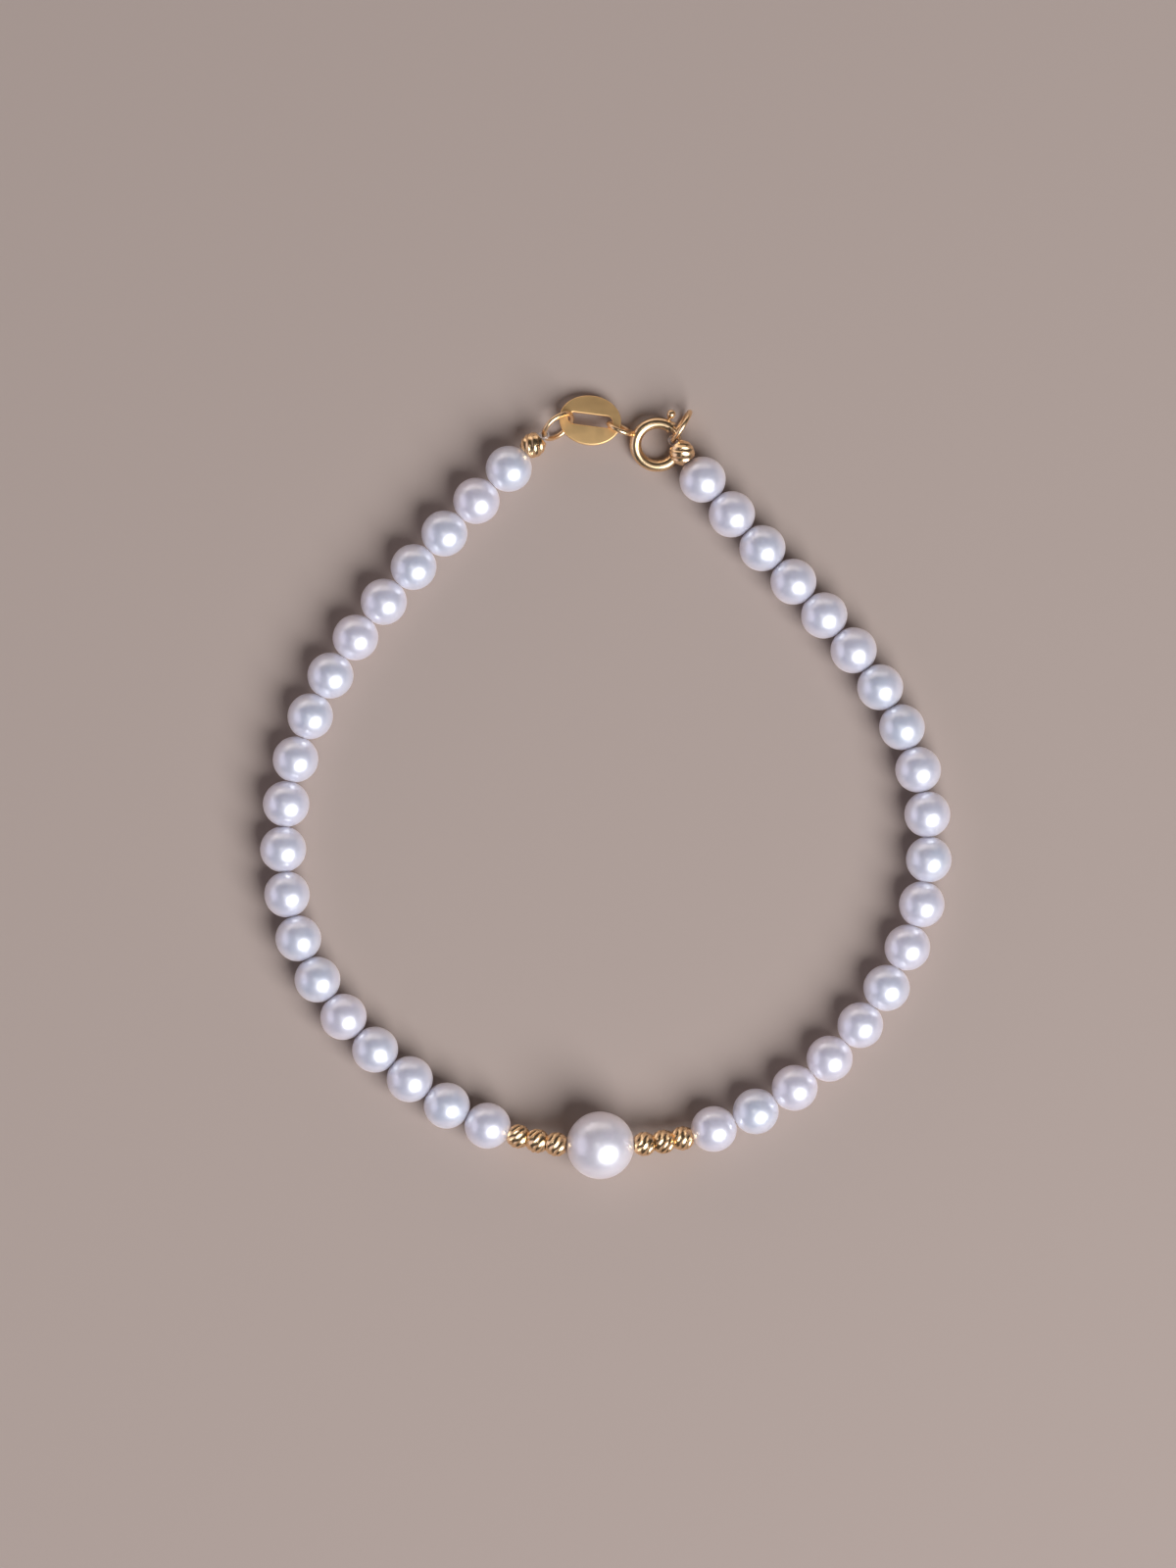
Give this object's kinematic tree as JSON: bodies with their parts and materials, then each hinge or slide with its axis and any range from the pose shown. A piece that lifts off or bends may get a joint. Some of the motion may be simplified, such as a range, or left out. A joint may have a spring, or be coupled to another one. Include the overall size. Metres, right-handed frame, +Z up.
{
  "type": "pearl bracelet",
  "caption": "Small white pearl bracelet with one large pearl between diamond-cut gold beads and a gold spring-ring clasp with an oval plate.",
  "frame": {"origin": "on the table, under the middle of the bracelet's bounding box as it lies open", "axes": "+Y towards the clasp, -Y towards the large pearl, +X to the clasp's bolt side, +Z up from the table"},
  "size_m": [0.0625, 0.0708, 0.0061],
  "materials": {
    "nacre": "pearl lustre, white with a lavender cast",
    "cream_nacre": "pearl lustre, creamy white",
    "cut_gold": "diamond-cut and polished yellow gold",
    "polished_gold": "polished yellow gold",
    "satin_gold": "satin yellow gold",
    "clear_nylon": "clear nylon"
  },
  "bodies": {
    "bracelet": {"end_bead_plate_side": "cut_gold", "pearl_01": "nacre", "pearl_02": "nacre", "pearl_03": "nacre", "pearl_04": "nacre", "pearl_05": "nacre", "pearl_06": "nacre", "pearl_07": "nacre", "pearl_08": "nacre", "pearl_09": "nacre", "pearl_10": "nacre", "pearl_11": "nacre", "pearl_12": "nacre", "pearl_13": "nacre", "pearl_14": "nacre", "pearl_15": "nacre", "pearl_16": "nacre", "pearl_17": "nacre", "pearl_18": "nacre", "pearl_19": "nacre", "gold_bead_01": "cut_gold", "gold_bead_02": "cut_gold", "gold_bead_03": "cut_gold", "centre_pearl": "cream_nacre", "gold_bead_04": "cut_gold", "gold_bead_05": "cut_gold", "gold_bead_06": "cut_gold", "pearl_20": "nacre", "pearl_21": "nacre", "pearl_22": "nacre", "pearl_23": "nacre", "pearl_24": "nacre", "pearl_25": "nacre", "pearl_26": "nacre", "pearl_27": "nacre", "pearl_28": "nacre", "pearl_29": "nacre", "pearl_30": "nacre", "pearl_31": "nacre", "pearl_32": "nacre", "pearl_33": "nacre", "pearl_34": "nacre", "pearl_35": "nacre", "pearl_36": "nacre", "pearl_37": "nacre", "pearl_38": "nacre", "end_bead_catch_side": "cut_gold", "thread": "clear_nylon", "clasp_case": "polished_gold", "oval_plate": "satin_gold", "plate_ring": "polished_gold", "catch_ring": "polished_gold"},
    "bolt": {"clasp_bolt": "polished_gold"}
  },
  "joints": [
    {"name": "bolt_slide", "type": "hinge", "parent": "bracelet", "child": "bolt", "pos_m": [0.00446, 0.03082, 0.001], "axis": [0, -0.2079, 0.9781], "range_deg": [0, 64], "stiffness_Nm_per_rad": 0.0008, "springref_deg": -22.92}
  ]
}
